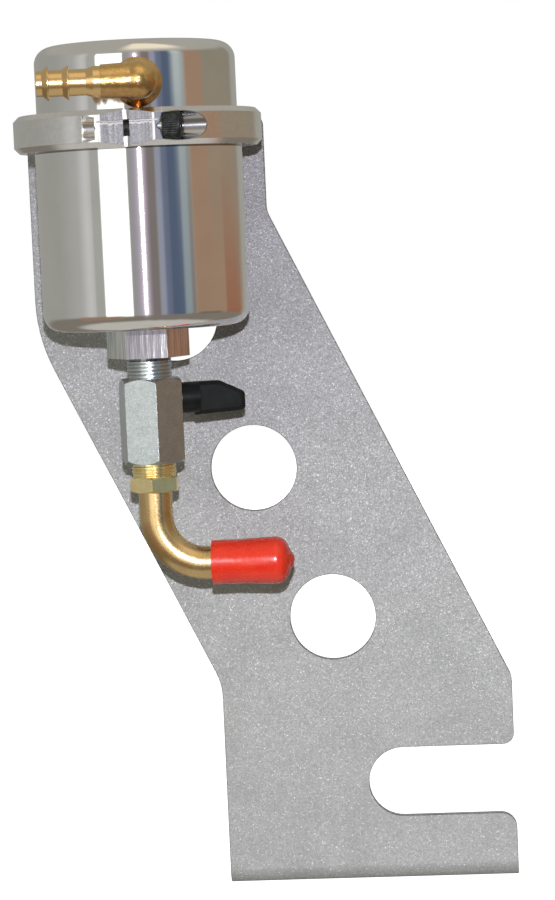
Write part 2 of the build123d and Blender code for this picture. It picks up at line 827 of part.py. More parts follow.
# Stem: tang in the ball, head inside the body, drive flats in the handle
hub_start = stem_face + handle_gap
stem_end = hub_start + hub_length + stem_past_hub
drive_start = stem_face + stem_boss_height
ring_place = (stem_head_start + stem_head_length + drive_start) / 2
tang_start = ball_radius - stem_tang_depth + stem_tang_clearance
with BuildPart() as valve_stem:
    with BuildSketch(out_plane(valve_turn, tang_start, ball_height)):
        Rectangle(stem_tang_width, 2 * stem_radius)
    extrude(amount=stem_head_start - tang_start)
    with BuildSketch(out_plane(valve_turn, stem_head_start, ball_height)):
        Circle(stem_head_radius)
    extrude(amount=stem_head_length)
    with BuildSketch(out_plane(valve_turn, stem_head_start, ball_height)):
        Circle(stem_radius)
    extrude(amount=stem_end - stem_head_start)
    with BuildSketch(out_plane(valve_turn, drive_start, ball_height)):
        Circle(2 * stem_radius)
        Rectangle(stem_drive_flats, 4 * stem_radius, mode=Mode.SUBTRACT)
    extrude(amount=stem_end, mode=Mode.SUBTRACT)
    with BuildSketch(out_plane(valve_turn, ring_place - stem_ring_section / 2, ball_height)):
        Circle(2 * stem_radius)
        Circle(stem_radius - stem_ring_section, mode=Mode.SUBTRACT)
    extrude(amount=stem_ring_section, mode=Mode.SUBTRACT)
save("valve_stem", valve_stem.part)

with BuildPart() as stem_o_ring:
    with BuildSketch(side_plane(valve_turn)):
        with Locations((ring_place, ball_height + stem_radius - stem_ring_section / 2)):
            Circle(stem_ring_section / 2)
    revolve(axis=stem_axis)
save("stem_o_ring", stem_o_ring.part)

# Handle: a thumb-turn, its blade in line with the flow when the valve is open
with BuildPart() as valve_handle:
    with BuildSketch(side_plane(valve_turn)):
        with BuildLine():
            FilletPolyline(
                (hub_start + hub_length - blade_bevel, ball_height - blade_bottom),
                (hub_start + handle_length, ball_height - blade_tip_bottom),
                (hub_start + handle_length, ball_height + blade_tip_top),
                (hub_start + handle_length - blade_bevel_start, ball_height + blade_top),
                (hub_start + hub_length - blade_bevel, ball_height + blade_top),
                radius=[blade_tip_round, blade_tip_round, blade_shoulder_round],
            )
            Line(
                (hub_start + hub_length - blade_bevel, ball_height + blade_top),
                (hub_start + hub_length - blade_bevel, ball_height - blade_bottom),
            )
        make_face()
    extrude(amount=blade_thickness / 2, both=True)
    chamfer(valve_handle.edges().filter_by(GeomType.LINE).sort_by(Axis.Z)[-2:], blade_bevel)
    with BuildSketch(out_plane(valve_turn, hub_start, ball_height)):
        Circle(hub_radius)
    extrude(amount=hub_length)
    with BuildSketch(out_plane(valve_turn, hub_start, ball_height)):
        Circle(stem_boss_radius + hub_skirt_clearance)
    extrude(amount=stem_boss_height, mode=Mode.SUBTRACT)
    with BuildSketch(out_plane(valve_turn, hub_start, ball_height)):
        Circle(stem_radius + stem_fit)
        with Locations((-stem_radius - stem_drive_flats / 2 - stem_fit, 0),
                       (stem_radius + stem_drive_flats / 2 + stem_fit, 0)):
            Rectangle(2 * stem_radius, 4 * stem_radius, mode=Mode.SUBTRACT)
    extrude(amount=stem_end - hub_start, mode=Mode.SUBTRACT)
save("valve_handle", valve_handle.part)

# Brass adapter, bent tube and vinyl cap
adapter_top = valve_bottom - adapter_thread_bare
adapter_bottom = adapter_top - adapter_hex_height
with BuildPart() as drain_adapter:
    with BuildSketch(can_plane(adapter_bottom)):
        RegularPolygon(adapter_hex_flats / 2, 6, major_radius=False, rotation=30)
    extrude(amount=adapter_hex_height)
    with BuildSketch(side_plane()):
        with BuildLine():
            chamfer_profile(adapter_bottom, adapter_hex_height, adapter_hex_flats, adapter_corner_slope)
        make_face()
    revolve(axis=up_axis, mode=Mode.INTERSECT)
    with BuildSketch(can_plane(adapter_top)):
        Circle(pipe_radius)
    extrude(amount=adapter_thread_bare + adapter_thread_engaged)
    chamfer(drain_adapter.edges().group_by(Axis.Z)[-1], thread_end_chamfer)
    with BuildSketch(can_plane(adapter_bottom)):
        Circle(tube_radius - tube_wall)
    extrude(amount=valve_length, mode=Mode.SUBTRACT)
    with BuildSketch(can_plane(adapter_bottom)):
        Circle(tube_radius)
    extrude(amount=tube_socket, mode=Mode.SUBTRACT)
save("drain_adapter", drain_adapter.part)

tube_axis_height = adapter_bottom - tube_drop - tube_bend_radius
tube_end = can_x + tube_bend_radius + tube_run
with BuildPart() as drain_tube:
    with BuildLine():
        FilletPolyline(
            (can_x, can_y, adapter_bottom + tube_socket),
            (can_x, can_y, tube_axis_height),
            (tube_end, can_y, tube_axis_height),
            radius=tube_bend_radius,
        )
    with BuildSketch(can_plane(adapter_bottom + tube_socket)):
        Circle(tube_radius)
        Circle(tube_radius - tube_wall, mode=Mode.SUBTRACT)
    sweep()
save("drain_tube", drain_tube.part)

cap_mouth = can_x + tube_bend_radius + cap_start
cap_tip = cap_mouth + cap_length
cap_radius = tube_radius + cap_wall
cap_hollow = tube_radius + cap_fit
with BuildPart() as drain_cap:
    with BuildSketch(Plane(origin=(0, can_y, tube_axis_height), x_dir=(1, 0, 0), z_dir=(0, -1, 0))):
        with BuildLine():
            Spline(
                (cap_mouth, cap_radius),
                (cap_mouth + cap_bulge_place / 2, cap_radius),
                (cap_mouth + cap_bulge_place, cap_radius + cap_bulge),
                tangents=[(1, 0), (1, 0)],
            )
            Spline(
                (cap_mouth + cap_bulge_place, cap_radius + cap_bulge),
                (cap_tip - cap_tip_rise, cap_tip_radius),
                (cap_tip, 0),
                tangents=[(1, 0), (0, -1)],
            )
            Polyline(
                (cap_tip, 0),
                (tube_end + cap_end_gap, 0),
                (tube_end + cap_end_gap, cap_hollow),
                (cap_mouth, cap_hollow),
                (cap_mouth, cap_radius),
            )
        make_face()
    revolve(axis=Axis((0, can_y, tube_axis_height), (1, 0, 0)))
save("drain_cap", drain_cap.part)
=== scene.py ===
"""Looks of the oil catch can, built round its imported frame. Metres, in the part's own frame."""
import json
from math import cos, pi, radians, sin

import bpy
from mathutils import Matrix, Vector


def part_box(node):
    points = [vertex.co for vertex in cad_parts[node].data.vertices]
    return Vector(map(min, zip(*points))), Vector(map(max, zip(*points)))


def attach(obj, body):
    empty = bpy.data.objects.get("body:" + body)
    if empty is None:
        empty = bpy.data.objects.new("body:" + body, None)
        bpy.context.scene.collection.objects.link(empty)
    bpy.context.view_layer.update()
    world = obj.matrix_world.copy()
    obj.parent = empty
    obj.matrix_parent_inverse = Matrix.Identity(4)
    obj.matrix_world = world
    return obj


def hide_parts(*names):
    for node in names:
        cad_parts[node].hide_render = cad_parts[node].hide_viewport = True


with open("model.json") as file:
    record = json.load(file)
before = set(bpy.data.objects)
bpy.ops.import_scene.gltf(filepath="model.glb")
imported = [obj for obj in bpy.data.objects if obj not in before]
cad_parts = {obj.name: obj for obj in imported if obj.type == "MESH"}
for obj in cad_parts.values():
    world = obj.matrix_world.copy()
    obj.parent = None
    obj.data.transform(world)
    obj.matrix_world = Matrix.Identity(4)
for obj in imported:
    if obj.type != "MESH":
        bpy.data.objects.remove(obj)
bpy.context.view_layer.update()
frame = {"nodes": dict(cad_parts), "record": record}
nodes = frame["nodes"]
slot_of = {part["node"]: part["material_slot"] for part in frame["record"]["subparts"]}
mm = 0.001
up = Vector((0, 0, 1))

# Can and lid, read from the frame
can_low, can_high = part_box("can_body")
can_axis = Vector(((can_low.x + can_high.x) / 2, (can_low.y + can_high.y) / 2, 0))
can_bottom = can_low.z
rim = can_high.z
lid_low, lid_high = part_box("lid")
lid_top = lid_high.z
lid_radius = (lid_high.x - lid_low.x) / 2

# Elbows: the lid's turn about the can, the way the inlet's arm points, and the bosses' height
lid_turn = radians(7.3)
arm_turn = lid_turn + pi
arm_along = Vector((cos(arm_turn), sin(arm_turn), 0))
elbow_height = lid_top - 16.5 * mm

# Clamp ring's split, and the clamp screw across it
split_turn = radians(1.3)
split_out = Vector((sin(split_turn), -cos(split_turn), 0))
split_along = Vector((cos(split_turn), sin(split_turn), 0))
screw_reach = 43.15 * mm
screw_height = rim - 7.0 * mm
screw_seat = 13.1 * mm

# Camera, fitted to the photo's straight edges and circles
camera_place = (0.03695, -1.08105, 0.26962)
camera_yaw = radians(-3.7226)
camera_pitch = radians(4.872)
camera_roll = radians(-2.5618)
focal_length_in_pixels = 2632.7
picture_height_in_pixels = 900
sensor_height = 36.0


def camera_matrix():
    """The camera's place and turn: yaw to the left, pitch down, then roll."""
    forward = Vector((
        sin(camera_yaw) * cos(camera_pitch),
        cos(camera_yaw) * cos(camera_pitch),
        -sin(camera_pitch),
    ))
    level = Vector((cos(camera_yaw), -sin(camera_yaw), 0))
    upright = level.cross(forward)
    picture_right = cos(camera_roll) * level + sin(camera_roll) * upright
    picture_up = cos(camera_roll) * upright - sin(camera_roll) * level
    turn = Matrix((picture_right, picture_up, -forward)).transposed().to_4x4()
    return Matrix.Translation(camera_place) @ turn


camera_data = bpy.data.cameras.new("camera")
camera_data.sensor_fit = "VERTICAL"
camera_data.sensor_height = sensor_height
camera_data.lens = focal_length_in_pixels / picture_height_in_pixels * sensor_height
camera_data.clip_end = 50
camera = bpy.data.objects.new("camera", camera_data)
camera.matrix_world = camera_matrix()
bpy.context.scene.collection.objects.link(camera)
bpy.context.scene.camera = camera
bpy.context.scene.view_settings.view_transform = "Standard"


def add(tree, kind, inputs=None, **settings):
    """A new node. Inputs are sockets to link or values to set."""
    made = tree.nodes.new("ShaderNode" + kind)
    for key, value in settings.items():
        setattr(made, key, value)
    for key, value in (inputs or {}).items():
        if isinstance(value, bpy.types.NodeSocket):
            tree.links.new(value, made.inputs[key])
        else:
            made.inputs[key].default_value = value
    return made


def maths(tree, operation, a, b=0.0, c=0.0):
    """One Math node's result."""
    return add(tree, "Math", {0: a, 1: b, 2: c}, operation=operation).outputs[0]


def ramp(tree, value, stops):
    """A colour ramp: stops are (position, grey or colour)."""
    made = add(tree, "ValToRGB", {0: value})
    elements = made.color_ramp.elements
    while len(elements) < len(stops):
        elements.new(0.5)
    for element, (position, colour) in zip(elements, stops):
        element.position = position
        element.color = (colour,) * 3 + (1,) if isinstance(colour, float) else (*colour, 1)
    return made.outputs[0]


def noise(tree, place, scale, detail=2.0, roughness=0.5):
    """Smooth noise, with scale in features per metre."""
    inputs = {"Vector": place, "Scale": scale, "Detail": detail, "Roughness": roughness}
    return add(tree, "TexNoise", inputs).outputs[0]


def grains(tree, place, scale):
    """A random grey for each grain, with scale in grains per metre."""
    cells = add(tree, "TexVoronoi", {"Vector": place, "Scale": scale})
    return add(tree, "SeparateColor", {0: cells.outputs["Color"]}).outputs[0]


def along(tree, place, direction, origin):
    """How far a place lies along a direction, from an origin."""
    reach = add(tree, "VectorMath", {0: place, 1: tuple(direction)}, operation="DOT_PRODUCT")
    return maths(tree, "SUBTRACT", reach.outputs["Value"], direction.dot(origin))


def above(tree, place, height):
    """How far a place lies above a height."""
    return along(tree, place, up, height * up)


def fitted(tree, value, start, end, low=0.0, high=1.0):
    """A value's stretch from start to end, laid over low to high and held there."""
    return add(tree, "MapRange", {0: value, 1: start, 2: end, 3: low, 4: high}).outputs[0]


def times(tree, colour, factor):
    """A colour, darkened or tinted by a factor."""
    return add(tree, "VectorMath", {0: colour, 1: factor}, operation="MULTIPLY").outputs[0]


def glints(tree, place, scale, tilt, normal):
    """A normal that leans another way in each grain, so that some of them catch the light."""
    cells = add(tree, "TexVoronoi", {"Vector": place, "Scale": scale}).outputs["Color"]
    lean = add(tree, "VectorMath", {0: cells, 1: (0.5, 0.5, 0.5)}, operation="SUBTRACT").outputs[0]
    lean = add(tree, "VectorMath", {0: lean, "Scale": tilt}, operation="SCALE").outputs[0]
    leaning = add(tree, "VectorMath", {0: normal, 1: lean}, operation="ADD").outputs[0]
    return add(tree, "VectorMath", {0: leaning}, operation="NORMALIZE").outputs[0]


def stretched(tree, place, factors):
    """The place, scaled along each axis, so that noise on it has long features."""
    return add(tree, "Mapping", {"Vector": place, "Scale": factors}).outputs[0]


def bump(tree, height, strength, distance, normal=None):
    """A bumped normal."""
    inputs = {"Height": height, "Strength": strength, "Distance": distance}
    if normal:
        inputs["Normal"] = normal
    return add(tree, "Bump", inputs).outputs[0]


def mix(tree, factor, a, b):
    """A colour between a and b."""
    made = add(tree, "Mix", data_type="RGBA")
    for key, value in ((0, factor), (6, a), (7, b)):
        if isinstance(value, bpy.types.NodeSocket):
            tree.links.new(value, made.inputs[key])
        else:
            made.inputs[key].default_value = value if key == 0 else (*value, 1)
    return made.outputs[2]


def blank(name, **constants):
    """A material with a Principled shader: its tree, shader, and the place on the object."""
    material = bpy.data.materials.new(name)
    material.use_nodes = True
    tree = material.node_tree
    shader = tree.nodes["Principled BSDF"]
    for key, value in constants.items():
        shader.inputs[key.replace("_", " ").title()].default_value = value
    place = add(tree, "TexCoord").outputs["Object"]
    return material, tree, shader, place


def wire(tree, shader, **sockets):
    """Link sockets to the shader's inputs."""
    for key, socket in sockets.items():
        tree.links.new(socket, shader.inputs[key.replace("_", " ").title()])


def rounded(tree, radius):
    """A normal that rounds sharp edges by a radius."""
    return add(tree, "Bevel", {"Radius": radius}, samples=6).outputs[0]


def cut_edge(tree, normal):
    """1 along the piece's sharp edges, from how far the rounded normal turns from the true one."""
    still_flat = 0.998
    fully_edge = 0.97
    flat = add(tree, "NewGeometry").outputs["True Normal"]
    agreement = add(tree, "VectorMath", {0: normal, 1: flat}, operation="DOT_PRODUCT").outputs["Value"]
    return fitted(tree, agreement, still_flat, fully_edge)


def bare_steel():
    """Bare sheet: fine grey grain, rare bright specks of painted glint, faint clouds, and dark cut edges.

    Towards its top it glints more, and painted light tints its colour a little bluer and brighter.
    """
    plain_below = 80 * mm
    glinting_above = 300 * mm
    edge_width = 0.55 * mm
    material, tree, shader, place = blank("bare_steel", metallic=0.2)
    rise = fitted(tree, above(tree, place, 0.0), plain_below, glinting_above)
    fine = maths(tree, "MULTIPLY", grains(tree, place, 3300), 0.55)
    coarse = grains(tree, place, 2000)
    speckle = maths(tree, "ADD", fine, maths(tree, "MULTIPLY", coarse, 0.45))
    colour = ramp(tree, speckle, [(0.1, (0.36,) * 3), (0.5, (0.43,) * 3), (0.9, (0.50,) * 3)])
    clouds = maths(tree, "MULTIPLY", noise(tree, place, 90, 3), 0.05)
    # Painted glints: rare bright specks in the colour, more of them towards the top, where the flash glints
    # most
    rare = maths(tree, "SUBTRACT", fitted(tree, rise, 0, 1, 1.0, 0.96), clouds)
    painted_glints = maths(tree, "GREATER_THAN", grains(tree, place, 2600), rare)
    colour = mix(tree, painted_glints, colour, (0.76, 0.76, 0.78))
    shade = ramp(tree, noise(tree, place, 45, 4), [(0.3, 0.90), (0.6, 1.0)])
    # Painted light: the colour is tinted a little bluer and brighter towards the top
    painted_top_tint = mix(tree, rise, (0.995, 1.0, 0.99), (1.02, 1.01, 1.08))
    colour = times(tree, times(tree, colour, shade), painted_top_tint)
    edge = maths(tree, "MULTIPLY", cut_edge(tree, rounded(tree, edge_width)), 0.9)
    colour = mix(tree, edge, colour, (0.04, 0.04, 0.035))
    rough = fitted(tree, coarse, 0, 1, 0.62, 0.5)
    grain = bump(tree, noise(tree, place, 2100, 2), 0.2, 0.05 * mm, rounded(tree, 0.25 * mm))
    lean = fitted(tree, rise, 0, 1, 0.2, 0.5)
    normal = glints(tree, place, 2300, lean, grain)
    wire(tree, shader, base_color=colour, roughness=rough, normal=normal)
    return material


def polished_aluminium():
    """Mirror polish: turning lines smear light along the can, and soft haze patches lie on it.

    The bung below the can is drawn upright instead, and painted shade darkens a thin band just under the
    clamp ring.
    """
    material, tree, shader, place = blank(
        "polished_aluminium", metallic=1.0, anisotropic=0.97, anisotropic_rotation=0.25
    )
    lines = noise(tree, stretched(tree, place, (15, 15, 5200)), 1, 3)
    haze = noise(tree, place, 60, 3)
    on_bung = maths(tree, "LESS_THAN", above(tree, place, can_bottom), 0.0)
    streaks = noise(tree, stretched(tree, place, (900, 900, 45)), 1, 3, 0.6)
    streaked = maths(tree, "MULTIPLY", on_bung, ramp(tree, streaks, [(0.42, 0.0), (0.62, 1.0)]))
    # Painted shade: a thin dark band on the can just under the clamp ring
    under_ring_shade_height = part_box("clamp_ring")[0].z - 0.25 * mm
    off_under_ring_shade = maths(tree, "ABSOLUTE", above(tree, place, under_ring_shade_height))
    under_ring_shade = maths(tree, "MULTIPLY", fitted(tree, off_under_ring_shade, 0.4 * mm, 0.15 * mm), 0.8)
    colour = ramp(tree, haze, [(0.3, (0.86, 0.855, 0.84)), (0.7, (0.91, 0.905, 0.90))])
    colour = mix(tree, streaked, colour, (0.53, 0.57, 0.56))
    colour = mix(tree, under_ring_shade, colour, (0.10, 0.09, 0.08))
    smear = fitted(tree, haze, 0, 1, 0.07, 0.09)
    rough = fitted(tree, on_bung, 0, 1, smear, 0.14)
    drawn = maths(tree, "MULTIPLY", on_bung, streaks)
    brushed = bump(tree, drawn, 0.8, 0.03 * mm, rounded(tree, 0.15 * mm))
    normal = bump(tree, lines, 0.08, 0.02 * mm, brushed)
    grooves = add(tree, "Tangent", direction_type="RADIAL", axis="Z").outputs[0]
    wire(tree, shader, base_color=colour, roughness=rough, normal=normal, tangent=grooves)
    return material


def turned_aluminium():
    """Satin turned ring, and milled matte flats with drawn streaks at the split.

    A bright tool line crosses the flats, painted highlights brighten the flats' outer ends, and painted
    shade darkens the counterbore round the clamp screw's head.
    """
    flats_beyond = 46.45 * mm
    seat_within = 45.7 * mm
    counterbore_radius = 5.25 * mm
    tool_line_height = screw_height + 1.5 * mm
    flat_end = 9.9 * mm
    material, tree, shader, place = blank("turned_aluminium", metallic=1.0)
    reach = along(tree, place, split_out, can_axis)
    sideways = along(tree, place, split_along, can_axis)
    on_flat = maths(tree, "GREATER_THAN", reach, flats_beyond)
    at_seat = maths(tree, "COMPARE", sideways, screw_seat, 0.15 * mm)
    on_seat = maths(tree, "MULTIPLY", at_seat, maths(tree, "LESS_THAN", reach, seat_within))
    lines = noise(tree, stretched(tree, place, (40, 40, 3800)), 1, 3)
    drawn = noise(tree, stretched(tree, place, (1500, 1500, 60)), 1, 4)
    speckle = noise(tree, place, 1700, 3, 0.6)
    mottle = maths(tree, "ADD", maths(tree, "MULTIPLY", drawn, 0.4), maths(tree, "MULTIPLY", speckle, 0.6))
    flat_grey = ramp(tree, mottle, [
        (0.34, (0.24, 0.24, 0.255)), (0.5, (0.33, 0.33, 0.345)), (0.64, (0.50, 0.50, 0.52)),
    ])
    ragged = maths(tree, "MULTIPLY", maths(tree, "SUBTRACT", drawn, 0.5), 2.2 * mm)
    off_line = maths(tree, "ADD", above(tree, place, tool_line_height), ragged)
    tool_line = fitted(tree, maths(tree, "ABSOLUTE", off_line), 0.4 * mm, 0.1 * mm, 0.0, 0.55)
    # Painted highlight: the flats brighten towards their outer ends
    edge = fitted(tree, maths(tree, "ABSOLUTE", sideways), flat_end - 0.6 * mm, flat_end, 0.0, 0.8)
    flat_grey = mix(tree, maths(tree, "MAXIMUM", tool_line, edge), flat_grey, (0.92, 0.92, 0.93))
    blotch = noise(tree, place, 500, 4, 0.6)
    ring_grey = ramp(tree, blotch, [(0.25, (0.83, 0.825, 0.82)), (0.6, (0.90, 0.895, 0.885))])
    across = maths(tree, "SUBTRACT", reach, screw_reach)
    height = above(tree, place, screw_height)
    across_squared = maths(tree, "MULTIPLY", across, across)
    height_squared = maths(tree, "MULTIPLY", height, height)
    off_screw = maths(tree, "SQRT", maths(tree, "ADD", across_squared, height_squared))
    # Painted shade: the counterbore's wall beside the clamp screw's head is darkened
    on_wall = maths(tree, "COMPARE", off_screw, counterbore_radius, 0.35 * mm)
    bore_shade = maths(tree, "MULTIPLY", on_wall, maths(tree, "GREATER_THAN", sideways, screw_seat + 0.3 * mm))
    colour = mix(tree, on_flat, ring_grey, flat_grey)
    colour = mix(tree, bore_shade, colour, (0.52, 0.52, 0.53))
    rough = fitted(tree, maths(tree, "MAXIMUM", on_flat, on_seat), 0, 1, 0.13, 0.66)
    strength = fitted(tree, on_flat, 0, 1, 0.1, 0.5)
    relief = maths(tree, "ADD", lines, maths(tree, "MULTIPLY", on_flat, drawn))
    normal = bump(tree, relief, strength, 0.05 * mm, rounded(tree, 0.2 * mm))
    wire(tree, shader, base_color=colour, roughness=rough, normal=normal)
    return material


def black_oxide():
    """Blackened steel: near black, satin, with a faint green cast. The neck under the head is bright."""
    neck_from, neck_to = 10.75 * mm, 13.05 * mm
    material, tree, shader, place = blank("black_oxide")
    sideways = along(tree, place, split_along, can_axis)
    neck = maths(tree, "COMPARE", sideways, (neck_from + neck_to) / 2, (neck_to - neck_from) / 2)
    metal = fitted(tree, neck, 0, 1, 0.6, 1.0)
    cast = noise(tree, place, 700, 3)
    tint = ramp(tree, cast, [(0.35, (0.012, 0.014, 0.013)), (0.7, (0.05, 0.06, 0.055))])
    satin = ramp(tree, noise(tree, place, 1500, 2), [(0.3, 0.45), (0.7, 0.62)])
    rough = fitted(tree, neck, 0, 1, satin, 0.16)
    normal = bump(tree, noise(tree, place, 2500, 2), 0.15, 0.03 * mm, rounded(tree, 0.15 * mm))
    colour = mix(tree, neck, tint, (0.80, 0.79, 0.80))
    wire(tree, shader, base_color=colour, metallic=metal, roughness=rough, normal=normal)
    return material


def zinc_steel():
    """Bright zinc plate: pale, slightly blue, finely dimpled."""
    material, tree, shader, place = blank("zinc_steel", metallic=1.0)
    bloom = noise(tree, place, 300, 3)
    tint = ramp(tree, bloom, [(0.3, (0.60, 0.61, 0.63)), (0.7, (0.74, 0.75, 0.77))])
    rough = ramp(tree, noise(tree, place, 900, 2), [(0.3, 0.2), (0.7, 0.34)])
    normal = bump(tree, noise(tree, place, 1700, 2), 0.12, 0.04 * mm, rounded(tree, 0.15 * mm))
    wire(tree, shader, base_color=tint, roughness=rough, normal=normal)
    return material


def seal_rubber():
    """Moulded black rubber with a dry bloom."""
    material, tree, shader, place = blank("seal_rubber", metallic=0.0)
    bloom = noise(tree, place, 500, 3)
    tint = ramp(tree, bloom, [(0.3, (0.012, 0.012, 0.013)), (0.7, (0.03, 0.03, 0.031))])
    rough = ramp(tree, noise(tree, place, 1200, 2), [(0.3, 0.5), (0.7, 0.7)])
    normal = bump(tree, noise(tree, place, 2400, 2), 0.2, 0.03 * mm)
    wire(tree, shader, base_color=tint, roughness=rough, normal=normal)
    return material


def forged_brass():
    """Tumbled forging: golden orange and granular, darkened underneath by painted shade.

    Beyond the arm the inlet's barb is turned smooth.
    """
    arm_end = 13.5 * mm
    underside_shade_depth = 10.0 * mm
    material, tree, shader, place = blank("forged_brass", metallic=1.0)
    pits = noise(tree, place, 1200, 3, 0.5)
    turned = maths(tree, "GREATER_THAN", along(tree, place, arm_along, can_axis), arm_end)
    stain = ramp(tree, noise(tree, place, 600, 4, 0.6), [(0.3, 0.0), (0.75, 1.0)])
    forged_colour = mix(tree, stain, (0.74, 0.45, 0.15), (0.88, 0.61, 0.26))
    # Painted shade: the colour darkens below the elbows' axis, on their undersides
    drop = along(tree, place, -up, elbow_height * up)
    underside_shade = ramp(tree, maths(tree, "DIVIDE", drop, underside_shade_depth), [
        (0.05, (1.0, 1.0, 1.0)),
        (0.25, (0.84, 0.81, 0.84)),
        (0.55, (0.72, 0.66, 0.66)),
        (0.85, (0.40, 0.30, 0.24)),
    ])
    colour = mix(tree, turned, times(tree, forged_colour, underside_shade), (0.86, 0.60, 0.28))
    forged_rough = ramp(tree, pits, [(0.35, 0.27), (0.65, 0.19)])
    rough = fitted(tree, turned, 0, 1, forged_rough, 0.24)
    depth = fitted(tree, turned, 0, 1, 0.3, 0.05)
    grain = bump(tree, pits, depth, 0.05 * mm, rounded(tree, 0.3 * mm))
    lean = fitted(tree, turned, 0, 1, 0.11, 0.03)
    normal = glints(tree, place, 2700, lean, grain)
    wire(tree, shader, base_color=colour, roughness=rough, normal=normal)
    return material


def turned_brass():
    """Turned bright brass with fine tool lines."""
    material, tree, shader, place = blank("turned_brass", metallic=1.0)
    lines = noise(tree, stretched(tree, place, (60, 60, 4200)), 1, 3)
    stain = noise(tree, place, 260, 3)
    colour = ramp(tree, stain, [(0.3, (0.99, 0.76, 0.335)), (0.7, (1.0, 0.92, 0.53))])
    rough = ramp(tree, lines, [(0.3, 0.26), (0.7, 0.16)])
    normal = bump(tree, lines, 0.2, 0.04 * mm, rounded(tree, 0.2 * mm))
    wire(tree, shader, base_color=colour, roughness=rough, normal=normal)
    return material


def polished_brass():
    """Drawn tube, polished and a little tarnished, with faint stains and a fine grain."""
    material, tree, shader, place = blank("polished_brass", metallic=1.0)
    stain = noise(tree, place, 130, 4)
    fine = noise(tree, place, 1400, 3)
    colour = ramp(tree, stain, [(0.3, (0.68, 0.46, 0.20)), (0.7, (0.82, 0.62, 0.32))])
    rough = ramp(tree, fine, [(0.35, 0.3), (0.7, 0.2)])
    normal = bump(tree, fine, 0.12, 0.04 * mm)
    wire(tree, shader, base_color=colour, roughness=rough, normal=normal)
    return material


def nickel_plate():
    """Bright plating over a granular blank, with the thread cut clean above the hexagon and darkened by
    painted shade.
    """
    thread_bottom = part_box("valve_body")[1].z - 8.0 * mm
    material, tree, shader, place = blank("nickel_plate", metallic=1.0)
    cut = maths(tree, "GREATER_THAN", above(tree, place, thread_bottom), 0.0)
    pits = noise(tree, place, 2600, 3, 0.5)
    stain = noise(tree, place, 300, 3)
    tint = ramp(tree, stain, [(0.3, (0.49, 0.53, 0.54)), (0.7, (0.57, 0.61, 0.62))])
    # Painted shade: the cut thread is coloured darker, as shade falls in its grooves
    colour = mix(tree, cut, tint, (0.22, 0.23, 0.235))
    blasted = ramp(tree, pits, [(0.35, 0.34), (0.65, 0.27)])
    rough = fitted(tree, cut, 0, 1, blasted, 0.07)
    depth = fitted(tree, cut, 0, 1, 0.25, 0.0)
    grain = bump(tree, pits, depth, 0.05 * mm, rounded(tree, 0.25 * mm))
    lean = fitted(tree, cut, 0, 1, 0.09, 0.0)
    normal = glints(tree, place, 3000, lean, grain)
    wire(tree, shader, base_color=colour, roughness=rough, normal=normal)
    return material


def steel_mesh():
    """Knitted wire pad: crossing strands in bump over a dark ground."""
    material, tree, shader, place = blank("steel_mesh", metallic=1.0)
    one = add(tree, "TexWave", {"Vector": place, "Scale": 420.0, "Distortion": 9.0, "Detail": 2.0})
    turned = add(tree, "Mapping", {"Vector": place, "Rotation": (0.6, 0.4, 1.3)}).outputs[0]
    two = add(tree, "TexWave", {"Vector": turned, "Scale": 460.0, "Distortion": 9.0, "Detail": 2.0})
    strands = maths(tree, "MAXIMUM", one.outputs[1], two.outputs[1])
    colour = ramp(tree, strands, [(0.35, (0.04, 0.04, 0.045)), (0.8, (0.62, 0.63, 0.65))])
    rough = ramp(tree, strands, [(0.3, 0.7), (0.9, 0.3)])
    wire(tree, shader, base_color=colour, roughness=rough, normal=bump(tree, strands, 0.8, 0.4 * mm))
    return material


def white_seat():
    """Waxy white seat plastic."""
    material, tree, shader, place = blank("white_seat", metallic=0.0)
    clouds = noise(tree, place, 400, 3)
    tint = ramp(tree, clouds, [(0.3, (0.80, 0.80, 0.77)), (0.7, (0.90, 0.90, 0.88))])
    rough = ramp(tree, noise(tree, place, 900, 2), [(0.3, 0.38), (0.7, 0.5)])
    wire(tree, shader, base_color=tint, roughness=rough)
    return material


def black_plastic():
    """Moulded black plastic: satin, finely textured."""
    material, tree, shader, place = blank("black_plastic", metallic=0.0)
    texture = noise(tree, place, 2100, 3, 0.6)
    clouds = noise(tree, place, 240, 3)
    tint = ramp(tree, clouds, [(0.3, (0.005, 0.006, 0.006)), (0.7, (0.010, 0.012, 0.0115))])
    rough = ramp(tree, texture, [(0.3, 0.42), (0.7, 0.28)])
    shader.inputs["Specular IOR Level"].default_value = 0.22
    normal = bump(tree, texture, 0.3, 0.05 * mm, rounded(tree, 0.35 * mm))
    wire(tree, shader, base_color=tint, roughness=rough, normal=normal)
    return material


def red_vinyl():
    """Dipped red vinyl: glossy, soft ripples, a little light inside it."""
    material, tree, shader, place = blank("red_vinyl", metallic=0.0)
    shader.inputs["Subsurface Weight"].default_value = 0.25
    shader.inputs["Subsurface Radius"].default_value = (1.5 * mm, 0.3 * mm, 0.2 * mm)
    shader.inputs["Subsurface Scale"].default_value = 1.0
    shader.inputs["Coat Weight"].default_value = 0.35
    shader.inputs["Coat Roughness"].default_value = 0.08
    ripple = noise(tree, place, 150, 3)
    tint = ramp(tree, ripple, [(0.3, (0.89, 0.032, 0.011)), (0.7, (0.98, 0.053, 0.017))])
    rough = ramp(tree, noise(tree, place, 700, 2), [(0.3, 0.2), (0.7, 0.3)])
    wire(tree, shader, base_color=tint, roughness=rough, normal=bump(tree, ripple, 0.3, 0.25 * mm))
    return material


